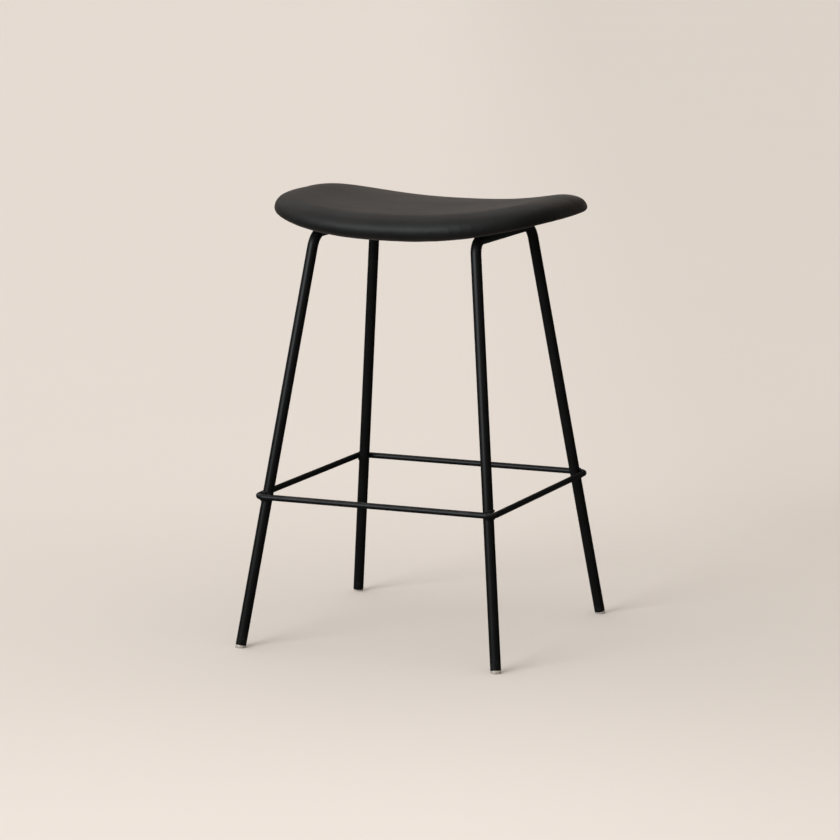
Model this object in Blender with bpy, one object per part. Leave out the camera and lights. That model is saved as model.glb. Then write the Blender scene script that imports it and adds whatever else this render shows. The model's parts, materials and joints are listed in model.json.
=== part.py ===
"""Bar stool: padded saddle seat on two bent-tube leg frames with a footrest ring.

Metres, +Z up. The origin is on the floor, midway between the four feet.
-Y is the front, +X is the right, and the seat is widest along X.
"""
from math import atan2, cos, hypot, pi, sin, sqrt, tan

import bmesh
import bpy
from mathutils import Matrix, Vector

# Fits
TOUCH_GAP = 0.0003          # between pieces that bear on each other
BOLT_CLEARANCE = 0.0005     # around a screw in the holes it only passes through

# Leg frames: each is one round tube, leg - bend - rail - bend - leg
TUBE_DIAMETER = 0.016
TUBE_WALL = 0.0015
FOOT_HALF_WIDTH = 0.2061    # leg axis from the centre, at the floor
FOOT_HALF_DEPTH = 0.2142
RAIL_HALF_SPACING = 0.1286  # rail axis from the centre
RAIL_HALF_LENGTH = 0.1093   # to where the leg and rail axes cross
RAIL_HEIGHT = 0.6157        # rail axis above the floor
BEND_RADIUS = 0.025         # of the tube's axis

# Foot glides
TUBE_END_HEIGHT = 0.0037    # tube axis above the floor where the tube is cut
GLIDE_INSERT_LENGTH = 0.014
GLIDE_FLANGE_DIAMETER = 0.0152

# Footrest ring: one round rod that passes outside the four legs
FOOTREST_ROD_DIAMETER = 0.009
FOOTREST_HEIGHT = 0.2263
FOOTREST_REACH_SPARE = 0.0004   # room for the legs' lean where the rod passes them
FOOTREST_WELD_DIAMETER = 0.0030

# Cross bars: flat steel between the rails
BAR_HALF_SPACING = 0.055
BAR_WIDTH = 0.025
BAR_THICKNESS = 0.004
BAR_RISE = 0.003            # bar's middle above the rail axis
BAR_WELD_DIAMETER = 0.0026

# Seat fixings
SCREW_HALF_SPACING = 0.080
SCREW_DIAMETER = 0.006
SCREW_LENGTH = 0.016
SCREW_HEAD_DIAMETER = 0.0105
SCREW_HEAD_HEIGHT = 0.0033
SOCKET_WIDTH = 0.004        # across the flats
SOCKET_DEPTH = 0.002
SOCKET_TAPER = 0.98         # the socket's width at its floor, against its mouth
SCREW_DOME = ((0.62, 1.0), (0.90, 0.7), (1.0, 0.3))   # shares of the head's radius and height
SCREW_TIP_CHAMFER = 0.0006
WASHER_DIAMETER = 0.0125
WASHER_THICKNESS = 0.0012
SPACER_DIAMETER = 0.017
INSERT_WALL = 0.0007        # of the insert, outside its thread
INSERT_GROOVE_DEPTH = 0.0004
INSERT_GROOVE_LENGTH = 0.002
INSERT_LENGTH = 0.010
BOSS_DIAMETER = 0.018
BOSS_HOLE_DEPTH = 0.012

# Seat outline and outer surface
SEAT_HALF_WIDTH = 0.2293
SEAT_HALF_DEPTH = 0.185
SEAT_SETBACK = 0.027        # seat centre behind the frame's centre
PLAN_POWER = 2.8            # of the outline, a superellipse
CENTRE_HEIGHT = 0.0268      # top of the seat's middle above the rails
END_RISE = 0.0278           # how far the saddle climbs to its two ends
END_RISE_POWER = 2.39
EDGE_DROP_FRONT = 0.0       # how far the top falls towards its front edge
EDGE_DROP_BACK = 0.0141
EDGE_DROP_POWER = 2.22
ROLL_WIDTH = 0.052          # the rounded edge, measured in from the rim
ROLL_WIDTH_FRONT = 0.030    # tighter along the front, where the top ends in a ridge
ROLL_HEIGHT_FRONT = 0.022
ROLL_HEIGHT_BACK = 0.0138
ROLL_HEIGHT_END = 0.035
LIP_WIDTH = 0.026           # from the rim in to the lowest line of the lip
LIP_DROP_FRONT = 0.0172     # from the rim down to that line
LIP_DROP_BACK = 0.0113
LIP_DROP_END = 0.006
LIP_WALL_WIDTH = 0.014      # from that line in to where the leather ends
PAN_RISE = 0.020            # how far the underside climbs to the ends
PAN_RISE_POWER = 1.5
PAN_SIDE_CLEARANCE = 0.003  # flat stretch of the underside past the rails

# Seat layers
LEATHER_THICKNESS = 0.0012
FOAM_THICKNESS = 0.0075
SHELL_THICKNESS = 0.006
SHELL_INSET = 0.014         # shell's edge in from the rim
PAN_THICKNESS = 0.0016

# Mesh fineness
RING_POINTS = 40
TOP_RINGS = 5
ROLL_RINGS = 4
EDGE_RINGS = 3
LIP_RINGS = 4
WALL_RINGS = 2
BEND_STEPS = 7
WELD_STEPS = 8
ROUND_SIDES = 16
SCREW_SIDES = 12
MERGE_DISTANCE = 0.000001
CUTTER_SPARE = 0.002        # how far a cutter runs past what it cuts

# What follows from the sizes above
TUBE_RADIUS = TUBE_DIAMETER / 2
SEAT_BASE = RAIL_HEIGHT + TUBE_RADIUS + TOUCH_GAP
BAR_TOP = RAIL_HEIGHT + BAR_RISE + BAR_THICKNESS / 2
BAR_BOTTOM = BAR_TOP - BAR_THICKNESS
INSERT_BORE_RADIUS = SCREW_DIAMETER / 2 + TOUCH_GAP
INSERT_RADIUS = INSERT_BORE_RADIUS + INSERT_WALL
HEM_INSET = LIP_WIDTH + LIP_WALL_WIDTH
SHELL_DEPTH = LEATHER_THICKNESS + FOAM_THICKNESS + 2 * TOUCH_GAP
SIDES = (("left", -1), ("right", 1))
ENDS = (("front", -1), ("back", 1))


# ---------------------------------------------------------------- scene tools

def clear_scene():
    for item in list(bpy.data.objects):
        bpy.data.objects.remove(item, do_unlink=True)


def material(name, colour, roughness, metallic=0.0):
    made = bpy.data.materials.new(name)
    made.use_nodes = True
    shader = made.node_tree.nodes["Principled BSDF"]
    shader.inputs["Base Color"].default_value = (*colour, 1.0)
    shader.inputs["Roughness"].default_value = roughness
    shader.inputs["Metallic"].default_value = metallic
    return made


def empty(name, place, parent=None):
    item = bpy.data.objects.new(name, None)
    item.location = place
    item.parent = parent
    bpy.context.scene.collection.objects.link(item)
    return item


def add_object(name, data, finish, parent, place=(0, 0, 0)):
    data.materials.clear()
    data.materials.append(finish)
    item = bpy.data.objects.new(name, data)
    item.location = place
    item.parent = parent
    bpy.context.scene.collection.objects.link(item)
    return item


def mesh_from(name, shape, sharp_angle=pi / 5):
    bmesh.ops.recalc_face_normals(shape, faces=shape.faces)
    data = bpy.data.meshes.new(name)
    shape.to_mesh(data)
    shape.free()
    data.shade_smooth()
    data.set_sharp_from_angle(angle=sharp_angle)
    return data


# ---------------------------------------------------------------- shape tools

def turned(profile, closed=False, sides=ROUND_SIDES):
    """Spin a (radius, height) profile into a bmesh; an open one has both ends on the axis."""
    shape = bmesh.new()
    verts = [shape.verts.new((radius, 0, height)) for radius, height in profile]
    edges = [shape.edges.new(pair) for pair in zip(verts, verts[1:])]
    if closed:
        edges.append(shape.edges.new((verts[-1], verts[0])))
    bmesh.ops.spin(shape, geom=verts + edges, cent=(0, 0, 0), axis=(0, 0, 1),
                   angle=2 * pi, steps=sides, use_merge=True)
    bmesh.ops.remove_doubles(shape, verts=shape.verts, dist=MERGE_DISTANCE)
    return shape


def turned_ring(inner, outer, low, high):
    """A plain washer or sleeve."""
    return turned([(inner, low), (outer, low), (outer, high), (inner, high)], closed=True)


def loft(shape, rings):
    """Join a single point and the rings that follow it with bands of triangles."""
    tip = shape.verts.new(rings[0][0])
    loops = [[shape.verts.new(point) for point in ring] for ring in rings[1:]]
    for i, vert in enumerate(loops[0]):
        shape.faces.new((tip, vert, loops[0][(i + 1) % len(loops[0])]))
    for lower, upper in zip(loops, loops[1:]):
        band(shape, lower, upper)
    return loops[-1]


def band(shape, lower, upper):
    """Every quad is split the same way, so layers that follow one another stay apart."""
    for i in range(len(lower)):
        after = (i + 1) % len(lower)
        shape.faces.new((lower[i], lower[after], upper[after]))
        shape.faces.new((lower[i], upper[after], upper[i]))


def closed_body(outer_rings, inner_rings):
    """Two lofts, each from its own tip, joined along their last rings."""
    shape = bmesh.new()
    outer_edge = loft(shape, outer_rings)
    inner_edge = loft(shape, inner_rings)
    band(shape, outer_edge, inner_edge)
    return shape


def rounded_corner(before, corner, after, radius, steps):
    """Points of an arc of the given radius that rounds a corner between two lines."""
    back = (before - corner).normalized()
    ahead = (after - corner).normalized()
    half_turn = back.angle(ahead) / 2
    reach = radius / tan(half_turn)
    middle = (back + ahead).normalized()
    centre = corner + middle * (radius / sin(half_turn))
    start = corner + back * reach - centre
    end = corner + ahead * reach - centre
    swing = start.angle(end)
    points = []
    for i in range(steps + 1):
        turn = swing * i / steps
        share = sin(swing - turn) / sin(swing)
        points.append(centre + start * share + end * (sin(turn) / sin(swing)))
    return points


def rod_curve(name, points, radius, closed=False, capped=True, resolution=3):
    data = bpy.data.curves.new(name, "CURVE")
    data.dimensions = "3D"
    data.bevel_depth = radius
    data.bevel_resolution = resolution
    data.use_fill_caps = capped and not closed
    spline = data.splines.new("POLY")
    spline.points.add(len(points) - 1)
    for knot, point in zip(spline.points, points):
        knot.co = (*point, 1.0)
    spline.use_cyclic_u = closed
    spline.use_smooth = True
    return data


def cutter(name, shape, parent, place=(0, 0, 0)):
    item = add_object(name, mesh_from(name, shape), FINISH["steel"], parent, place)
    item.hide_render = True
    item.display_type = "WIRE"
    return item


def boolean(target, tool, operation="DIFFERENCE"):
    step = target.modifiers.new(tool.name, "BOOLEAN")
    step.operation = operation
    step.object = tool
    step.solver = "EXACT"


def cylinder(radius, low, high, sides=ROUND_SIDES):
    return turned([(0, low), (radius, low), (radius, high), (0, high)], sides=sides)


def cylinders(spots, radius, low, highs):
    """Upright cylinders in one mesh, one at each spot, each up to its own height."""
    shape = bmesh.new()
    for spot, high in zip(spots, highs):
        single = cylinder(radius, low, high)
        single.transform(Matrix.Translation(spot))
        piece = bpy.data.meshes.new("cylinder")
        single.to_mesh(piece)
        single.free()
        shape.from_mesh(piece)
    return shape


# ---------------------------------------------------------------- leg frames

def leg_point(side, end, height):
    """A point on a leg's axis at the given height."""
    climb = height / RAIL_HEIGHT
    x = FOOT_HALF_WIDTH + (RAIL_HALF_SPACING - FOOT_HALF_WIDTH) * climb
    y = FOOT_HALF_DEPTH + (RAIL_HALF_LENGTH - FOOT_HALF_DEPTH) * climb
    return Vector((side * x, end * y, height))


def leg_frame(name, side, parent):
    foot = [leg_point(side, end, TUBE_END_HEIGHT) for end in (-1, 1)]
    corner = [leg_point(side, end, RAIL_HEIGHT) for end in (-1, 1)]
    path = [foot[0]]
    path += rounded_corner(foot[0], corner[0], corner[1], BEND_RADIUS, BEND_STEPS)
    path += rounded_corner(corner[0], corner[1], foot[1], BEND_RADIUS, BEND_STEPS)
    path.append(foot[1])
    data = rod_curve(name, path, TUBE_RADIUS, capped=False, resolution=6)
    frame = add_object(name, data, FINISH["powder_coat"], parent)
    wall = frame.modifiers.new("wall", "SOLIDIFY")
    wall.thickness = TUBE_WALL
    wall.offset = -1
    return frame


def foot_glide(name, side, end, parent):
    """A plug in the tube's end with a flange that is trimmed level with the floor."""
    axis = (leg_point(side, end, RAIL_HEIGHT) - leg_point(side, end, 0)).normalized()
    turn = Vector((0, 0, 1)).rotation_difference(axis).to_matrix().to_4x4()
    insert_radius = TUBE_RADIUS - TUBE_WALL - TOUCH_GAP
    flange_radius = GLIDE_FLANGE_DIAMETER / 2
    below_floor = -2 * TUBE_END_HEIGHT - flange_radius      # far enough to be trimmed
    shape = turned([(0, below_floor), (flange_radius, below_floor), (flange_radius, -TOUCH_GAP),
                    (insert_radius, -TOUCH_GAP), (insert_radius, GLIDE_INSERT_LENGTH),
                    (0, GLIDE_INSERT_LENGTH)])
    place = leg_point(side, end, TUBE_END_HEIGHT)
    shape.transform(Matrix.Translation(place) @ turn)
    trimmed = bmesh.ops.bisect_plane(shape, geom=shape.verts[:] + shape.edges[:] + shape.faces[:],
                                     plane_co=(0, 0, 0), plane_no=(0, 0, 1), clear_inner=True)
    cut = [item for item in trimmed["geom_cut"] if isinstance(item, bmesh.types.BMEdge)]
    bmesh.ops.edgenet_fill(shape, edges=cut)
    return add_object(name, mesh_from(name, shape), FINISH["glide"], parent)


# ---------------------------------------------------------------- footrest

def footrest_reach():
    """From a leg's axis out to the rod's axis, the same all round the leg."""
    return TUBE_RADIUS + FOOTREST_ROD_DIAMETER / 2 + TOUCH_GAP + FOOTREST_REACH_SPARE


def footrest_ring(parent):
    reach = footrest_reach()
    post = leg_point(1, 1, FOOTREST_HEIGHT)
    points = []
    for quarter, (side, end) in enumerate(((1, 1), (-1, 1), (-1, -1), (1, -1))):
        for step in range(BEND_STEPS + 1):
            angle = (quarter + step / BEND_STEPS) * pi / 2
            points.append(Vector((side * post.x + reach * cos(angle),
                                  end * post.y + reach * sin(angle), FOOTREST_HEIGHT)))
    data = rod_curve("footrest_ring", points, FOOTREST_ROD_DIAMETER / 2, closed=True)
    return add_object("footrest_ring", data, FINISH["powder_coat"], parent)


def footrest_weld(name, side, end, parent):
    """A bead in the groove between the rod and the leg, above the rod."""
    bead = FOOTREST_WELD_DIAMETER / 2
    rod = FOOTREST_ROD_DIAMETER / 2
    out = TUBE_RADIUS + bead + 2 * TOUCH_GAP
    rise = sqrt((rod + bead + TOUCH_GAP) ** 2 - (footrest_reach() - out) ** 2)
    height = FOOTREST_HEIGHT + rise
    centre = leg_point(side, end, height)
    facing = atan2(end, side)
    points = []
    for step in range(WELD_STEPS + 1):
        angle = facing + (step / WELD_STEPS - 0.5) * pi / 2
        points.append(centre + Vector((out * cos(angle), out * sin(angle), 0)))
    data = rod_curve(name, points, bead, resolution=2)
    return add_object(name, data, FINISH["powder_coat"], parent)


# ---------------------------------------------------------------- cross bars

def cross_bar(name, end, parent):
    """Flat bar with its ends coped to the rails and a hole for each seat screw."""
    shape = bmesh.new()
    size = (2 * RAIL_HALF_SPACING, BAR_WIDTH, BAR_THICKNESS)
    bmesh.ops.create_cube(shape, size=1, matrix=Matrix.Diagonal((*size, 1)))
    place = (0, end * BAR_HALF_SPACING, BAR_TOP - BAR_THICKNESS / 2)
    bar = add_object(name, mesh_from(name, shape), FINISH["powder_coat"], parent, place)
    turn = Matrix.Rotation(pi / 2, 4, "X")
    for side_name, side in SIDES:
        half = BAR_WIDTH / 2 + CUTTER_SPARE
        rail = cylinder(TUBE_RADIUS + TOUCH_GAP, -half, half, 2 * ROUND_SIDES)
        rail.transform(turn)
        spot = (side * RAIL_HALF_SPACING, end * BAR_HALF_SPACING, RAIL_HEIGHT)
        boolean(bar, cutter(f"{name}_cope_{side_name}", rail, parent, spot))
        half = BAR_THICKNESS / 2 + CUTTER_SPARE
        hole = cylinder(SCREW_DIAMETER / 2 + BOLT_CLEARANCE, -half, half)
        spot = (side * SCREW_HALF_SPACING, *place[1:])
        boolean(bar, cutter(f"{name}_hole_{side_name}", hole, parent, spot))
    return bar


def bar_weld(name, side, end, parent):
    """A bead under the bar, in the groove that it makes with the rail."""
    bead = BAR_WELD_DIAMETER / 2
    height = BAR_BOTTOM - TOUCH_GAP - bead
    reach = TUBE_RADIUS + TOUCH_GAP + bead
    inward = sqrt(reach ** 2 - (RAIL_HEIGHT - height) ** 2)
    x = side * (RAIL_HALF_SPACING - inward)
    half = BAR_WIDTH / 2 - bead
    middle = end * BAR_HALF_SPACING
    points = [Vector((x, middle - half, height)), Vector((x, middle + half, height))]
    data = rod_curve(name, points, bead, resolution=2)
    return add_object(name, data, FINISH["powder_coat"], parent)


# ---------------------------------------------------------------- seat surface

def plan_radius(angle):
    """From the seat's centre out to its rim."""
    across = abs(cos(angle) / SEAT_HALF_WIDTH) ** PLAN_POWER
    along = abs(sin(angle) / SEAT_HALF_DEPTH) ** PLAN_POWER
    return (across + along) ** (-1 / PLAN_POWER)


def between(at_end, at_long_side, angle):
    """A size that changes from the seat's two ends to its front and back."""
    share = (plan_radius(angle) * sin(angle) / SEAT_HALF_DEPTH) ** 2
    return at_end + (at_long_side - at_end) * share


def front_or_back(at_front, at_back, angle):
    return at_front if sin(angle) < 0 else at_back


def roll_width(angle):
    return between(ROLL_WIDTH, front_or_back(ROLL_WIDTH_FRONT, ROLL_WIDTH, angle), angle)


def top_height(angle, radius):
    """Height of the seat's outer top surface, above the seat's base."""
    rise = END_RISE * abs(radius * cos(angle) / SEAT_HALF_WIDTH) ** END_RISE_POWER
    edge_drop = front_or_back(EDGE_DROP_FRONT, EDGE_DROP_BACK, angle)
    drop = edge_drop * abs(radius * sin(angle) / SEAT_HALF_DEPTH) ** EDGE_DROP_POWER
    into_roll = max(0.0, 1 - (plan_radius(angle) - radius) / roll_width(angle))
    roll = 1 - sqrt(max(0.0, 1 - into_roll ** 2))
    long_side = front_or_back(ROLL_HEIGHT_FRONT, ROLL_HEIGHT_BACK, angle)
    roll_height = between(ROLL_HEIGHT_END, long_side, angle)
    return CENTRE_HEIGHT + rise - drop - roll_height * roll


def lip_height(angle):
    """Height of the lip's lowest line."""
    lip_drop = front_or_back(LIP_DROP_FRONT, LIP_DROP_BACK, angle)
    return top_height(angle, plan_radius(angle)) - between(LIP_DROP_END, lip_drop, angle)


def pan_height(angle, radius):
    """Height of the underside: flat over the rails, climbing to the two ends."""
    flat = RAIL_HALF_SPACING + TUBE_RADIUS + PAN_SIDE_CLEARANCE
    past = max(0.0, abs(radius * cos(angle)) - flat)
    room = SEAT_HALF_WIDTH - HEM_INSET - flat
    return PAN_RISE * (past / room) ** PAN_RISE_POWER


def wrap_section(angle, inset):
    """The leather's path from near the centre, over the rim and up inside the lip."""
    rim = plan_radius(angle)
    flat = rim - roll_width(angle)
    radii = [flat * i / TOP_RINGS for i in range(1, TOP_RINGS + 1)]
    for i in range(1, ROLL_RINGS + 1):
        radii.append(flat + (roll_width(angle) - inset) * sin(i / ROLL_RINGS * pi / 2))
    section = [(radius, top_height(angle, radius) - inset) for radius in radii]
    edge = section[-1][1]
    low = lip_height(angle) + inset
    for i in range(1, LIP_RINGS + 1):
        turn = i / LIP_RINGS * pi / 2
        radius = rim - LIP_WIDTH + (LIP_WIDTH - inset) * cos(turn)
        section.append((radius, edge + (low - edge) * sin(turn)))
    hem = pan_height(angle, rim - HEM_INSET)
    for i in range(1, WALL_RINGS + 1):
        turn = i / WALL_RINGS * pi / 2
        radius = rim - LIP_WIDTH - (LIP_WALL_WIDTH - inset) * sin(turn)
        section.append((radius, low + (hem - low) * (1 - cos(turn))))
    return section


def foam_hem(angle):
    """Where the foam ends, just inside the leather's hem."""
    return plan_radius(angle) - HEM_INSET + LEATHER_THICKNESS + TOUCH_GAP


def shell_section(angle, depth, grow=0.0):
    """A path below the top surface, from near the centre out to the shell's edge."""
    hem = foam_hem(angle)
    edge = plan_radius(angle) - SHELL_INSET
    radii = [hem * i / TOP_RINGS for i in range(1, TOP_RINGS + 1)]
    radii += [hem + (edge - hem) * i / EDGE_RINGS for i in range(1, EDGE_RINGS + 1)]
    section = [(radius, top_height(angle, radius) - depth) for radius in radii]
    section[-1] = (edge + grow, section[-1][1])
    return section


def pan_section(angle, lift):
    edge = plan_radius(angle) - HEM_INSET - TOUCH_GAP
    radii = [edge * i / TOP_RINGS for i in range(1, TOP_RINGS + 1)]
    return [(radius, pan_height(angle, radius) + lift) for radius in radii]


def rings_of(section_at):
    """Turn a section, given for each angle, into rings of points."""
    angles = [2 * pi * i / RING_POINTS for i in range(RING_POINTS)]
    sections = [section_at(angle) for angle in angles]
    rings = []
    for level in zip(*sections):
        rings.append([(radius * cos(angle), radius * sin(angle), height)
                      for angle, (radius, height) in zip(angles, level)])
    return rings


def seat_body(name, outer, outer_centre, inner, inner_centre, finish, parent):
    """A body between an outer and an inner path; each starts at its centre height."""
    outer_rings = [[(0, 0, outer_centre)], *rings_of(outer)]
    inner_rings = [[(0, 0, inner_centre)], *rings_of(inner)]
    shape = closed_body(outer_rings, inner_rings)
    return add_object(name, mesh_from(name, shape), finish, parent)


# ---------------------------------------------------------------- seat layers

def seat_leather(parent):
    return seat_body("seat_leather",
                     lambda angle: wrap_section(angle, 0), CENTRE_HEIGHT,
                     lambda angle: wrap_section(angle, LEATHER_THICKNESS),
                     CENTRE_HEIGHT - LEATHER_THICKNESS, FINISH["leather"], parent)


def foam_inner(angle):
    """Round the shell: over its top, past its edge and in under it to the hem."""
    above = shell_section(angle, SHELL_DEPTH - TOUCH_GAP, TOUCH_GAP)
    below = shell_section(angle, SHELL_DEPTH + SHELL_THICKNESS + TOUCH_GAP, TOUCH_GAP)
    return above + below[:TOP_RINGS - 2:-1]


def seat_foam(parent):
    inset = LEATHER_THICKNESS + TOUCH_GAP
    return seat_body("seat_foam",
                     lambda angle: wrap_section(angle, inset), CENTRE_HEIGHT - inset,
                     foam_inner, CENTRE_HEIGHT - SHELL_DEPTH + TOUCH_GAP,
                     FINISH["foam"], parent)


def screw_spots():
    """Seat screws, seen from the seat's own origin."""
    return [Vector((side * SCREW_HALF_SPACING, end * BAR_HALF_SPACING - SEAT_SETBACK, 0))
            for _, end in ENDS for _, side in SIDES]


def boss_top(spot):
    """Half way up the shell's wall above a screw, where the boss's cylinder ends."""
    height = top_height(atan2(spot.y, spot.x), hypot(spot.x, spot.y))
    return height - SHELL_DEPTH - SHELL_THICKNESS / 2


def seat_shell(parent):
    """Moulded saddle with four bosses, each bored for a threaded insert."""
    under = SHELL_DEPTH + SHELL_THICKNESS
    shell = seat_body("seat_shell",
                      lambda angle: shell_section(angle, SHELL_DEPTH), CENTRE_HEIGHT - SHELL_DEPTH,
                      lambda angle: shell_section(angle, under), CENTRE_HEIGHT - under,
                      FINISH["shell"], parent)
    spots = screw_spots()
    bosses = cylinders(spots, BOSS_DIAMETER / 2, 0, [boss_top(spot) for spot in spots])
    boolean(shell, cutter("shell_bosses", bosses, parent), "UNION")
    depths = [BOSS_HOLE_DEPTH] * len(spots)
    bores = cylinders(spots, INSERT_RADIUS + TOUCH_GAP, -CUTTER_SPARE, depths)
    boolean(shell, cutter("shell_bores", bores, parent))
    return shell


def underside_pan(parent):
    """Thin panel that closes the underside, with a hole for each boss."""
    pan = seat_body("underside_pan",
                    lambda angle: pan_section(angle, 0), 0,
                    lambda angle: pan_section(angle, PAN_THICKNESS), PAN_THICKNESS,
                    FINISH["pan"], parent)
    spots = screw_spots()
    tops = [PAN_THICKNESS + CUTTER_SPARE] * len(spots)
    holes = cylinders(spots, BOSS_DIAMETER / 2 + TOUCH_GAP, -CUTTER_SPARE, tops)
    boolean(pan, cutter("pan_holes", holes, parent))
    return pan


# ---------------------------------------------------------------- fixings

def insert_mesh():
    """Brass sleeve with a groove round its middle."""
    inner = INSERT_BORE_RADIUS
    outer = INSERT_RADIUS
    groove = outer - INSERT_GROOVE_DEPTH
    low = TOUCH_GAP
    high = low + INSERT_LENGTH
    middle = (low + high) / 2
    half = INSERT_GROOVE_LENGTH / 2
    profile = [(inner, low), (outer, low), (outer, middle - half), (groove, middle - half),
               (groove, middle + half), (outer, middle + half), (outer, high), (inner, high)]
    return mesh_from("insert", turned(profile, closed=True))


def screw_mesh():
    """Button-head screw pointing up, its bearing face at height 0, with a hex socket."""
    head = SCREW_HEAD_DIAMETER / 2
    shank = SCREW_DIAMETER / 2
    socket = SOCKET_WIDTH / 2 / cos(pi / 6)
    levels = [(socket * SOCKET_TAPER, -SCREW_HEAD_HEIGHT + SOCKET_DEPTH), (socket, -SCREW_HEAD_HEIGHT)]
    levels += [(head * wide, -SCREW_HEAD_HEIGHT * deep) for wide, deep in SCREW_DOME]
    levels += [(head, 0), (shank, 0), (shank, SCREW_LENGTH - SCREW_TIP_CHAMFER),
               (shank - SCREW_TIP_CHAMFER, SCREW_LENGTH)]
    rings = []
    for index, (radius, height) in enumerate(levels):
        ring = []
        for i in range(SCREW_SIDES):
            angle = 2 * pi * i / SCREW_SIDES
            flat = cos(pi / 6) / cos((angle + pi / 6) % (pi / 3) - pi / 6)
            reach = radius * flat if index < 2 else radius
            ring.append((reach * cos(angle), reach * sin(angle), height))
        rings.append(ring)
    socket_rings = [[(0, 0, levels[0][1])], *rings[:2]]
    body_rings = [[(0, 0, SCREW_LENGTH)], *rings[:1:-1]]
    return mesh_from("screw", closed_body(socket_rings, body_rings))


def seat_fixings(parent):
    """Screw, washer, spacer and insert at each of the four fixing points."""
    bore = SCREW_DIAMETER / 2 + BOLT_CLEARANCE
    spacer_height = SEAT_BASE - BAR_TOP - 2 * TOUCH_GAP
    washer = mesh_from("washer", turned_ring(bore, WASHER_DIAMETER / 2, 0, WASHER_THICKNESS))
    spacer = mesh_from("spacer", turned_ring(bore, SPACER_DIAMETER / 2, 0, spacer_height))
    insert = insert_mesh()
    screw = screw_mesh()
    washer_low = BAR_BOTTOM - TOUCH_GAP - WASHER_THICKNESS
    for end_name, end in ENDS:
        for side_name, side in SIDES:
            x = side * SCREW_HALF_SPACING
            y = end * BAR_HALF_SPACING
            spot = f"{end_name}_{side_name}"
            add_object(f"seat_screw_{spot}", screw, FINISH["screw"], parent,
                       (x, y, washer_low - TOUCH_GAP))
            add_object(f"screw_washer_{spot}", washer, FINISH["screw"], parent,
                       (x, y, washer_low))
            add_object(f"seat_spacer_{spot}", spacer, FINISH["rubber"], parent,
                       (x, y, BAR_TOP + TOUCH_GAP))
            add_object(f"threaded_insert_{spot}", insert, FINISH["brass"], parent,
                       (x, y, SEAT_BASE))


# ---------------------------------------------------------------- the stool

def make_finishes():
    return {
        "powder_coat": material("black powder coat", (0.012, 0.012, 0.013), 0.45),
        "leather": material("black leather", (0.017, 0.016, 0.016), 0.55),
        "foam": material("seat foam", (0.62, 0.58, 0.46), 0.95),
        "shell": material("moulded shell", (0.06, 0.06, 0.065), 0.6),
        "pan": material("underside panel", (0.02, 0.02, 0.02), 0.8),
        "glide": material("clear glide", (0.75, 0.72, 0.66), 0.25),
        "rubber": material("black rubber", (0.03, 0.03, 0.03), 0.9),
        "brass": material("brass", (0.72, 0.53, 0.25), 0.35, 1.0),
        "screw": material("black screw steel", (0.05, 0.05, 0.055), 0.4, 1.0),
        "steel": material("cutter", (0.5, 0.5, 0.5), 0.5),
    }


def build_stool():
    stool = empty("bar_stool", (0, 0, 0))
    seat = empty("seat_origin", (0, SEAT_SETBACK, SEAT_BASE), stool)
    for side_name, side in SIDES:
        leg_frame(f"{side_name}_leg_frame", side, stool)
    for end_name, end in ENDS:
        cross_bar(f"{end_name}_cross_bar", end, stool)
        for side_name, side in SIDES:
            spot = f"{end_name}_{side_name}"
            foot_glide(f"foot_glide_{spot}", side, end, stool)
            footrest_weld(f"footrest_weld_{spot}", side, end, stool)
            bar_weld(f"bar_weld_{spot}", side, end, stool)
    footrest_ring(stool)
    seat_leather(seat)
    seat_foam(seat)
    seat_shell(seat)
    underside_pan(seat)
    seat_fixings(stool)


clear_scene()
FINISH = make_finishes()
build_stool()
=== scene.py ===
"""Bar stool: a leather saddle seat on two bent-tube frames, with a footrest ring.

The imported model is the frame. Every piece made here is drawn in its place in that
frame, in metres, +Z up, with -Y the front and +X the right.
"""
import json
from contextlib import contextmanager
from math import atan2, cos, hypot, pi, radians, sin, tan, tanh

import bmesh
import bpy
from mathutils import Matrix, Vector


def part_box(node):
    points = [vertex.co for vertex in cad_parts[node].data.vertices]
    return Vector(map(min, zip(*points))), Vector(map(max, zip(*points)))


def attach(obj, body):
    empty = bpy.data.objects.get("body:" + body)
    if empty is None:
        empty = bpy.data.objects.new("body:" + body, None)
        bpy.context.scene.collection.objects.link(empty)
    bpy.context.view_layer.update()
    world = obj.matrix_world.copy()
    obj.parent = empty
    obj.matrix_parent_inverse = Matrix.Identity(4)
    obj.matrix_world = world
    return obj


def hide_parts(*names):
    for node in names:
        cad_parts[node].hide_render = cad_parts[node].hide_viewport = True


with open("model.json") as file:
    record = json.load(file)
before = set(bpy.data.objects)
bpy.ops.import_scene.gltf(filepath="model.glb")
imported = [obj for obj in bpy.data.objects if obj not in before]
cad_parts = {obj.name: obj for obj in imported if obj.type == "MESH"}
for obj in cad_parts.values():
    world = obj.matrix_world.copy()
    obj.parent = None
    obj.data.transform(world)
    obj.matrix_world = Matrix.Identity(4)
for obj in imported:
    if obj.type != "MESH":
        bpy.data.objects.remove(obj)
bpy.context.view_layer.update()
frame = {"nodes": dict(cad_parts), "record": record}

# ---------------------------------------------------------------- sizes and places

TOUCH_GAP = 0.0003              # between pieces that bear on each other
BOLT_CLEARANCE = 0.0005         # round a screw in the holes it only passes through

TUBE_RADIUS = 0.008
TUBE_WALL = 0.0015
BEND_RADIUS = 0.025             # of the tube's axis
RAIL_HALF_LENGTH = 0.1093       # to where the leg and rail axes cross
TUBE_END_HEIGHT = 0.0037        # tube axis above the floor where the tube is cut
TUBE_SIDES = 40
TUBE_BEND_STEPS = 14
TUBE_EDGE_SOFTENING = 0.00025

ROD_RADIUS = 0.0045
ROD_SIDES = 28
ROD_BEND_STEPS = 12

GLIDE_FLANGE_RADIUS = 0.0076
GLIDE_PLUG_RADIUS = 0.0062
GLIDE_PLUG_LENGTH = 0.014
GLIDE_SOFTENING = 0.0005

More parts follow.
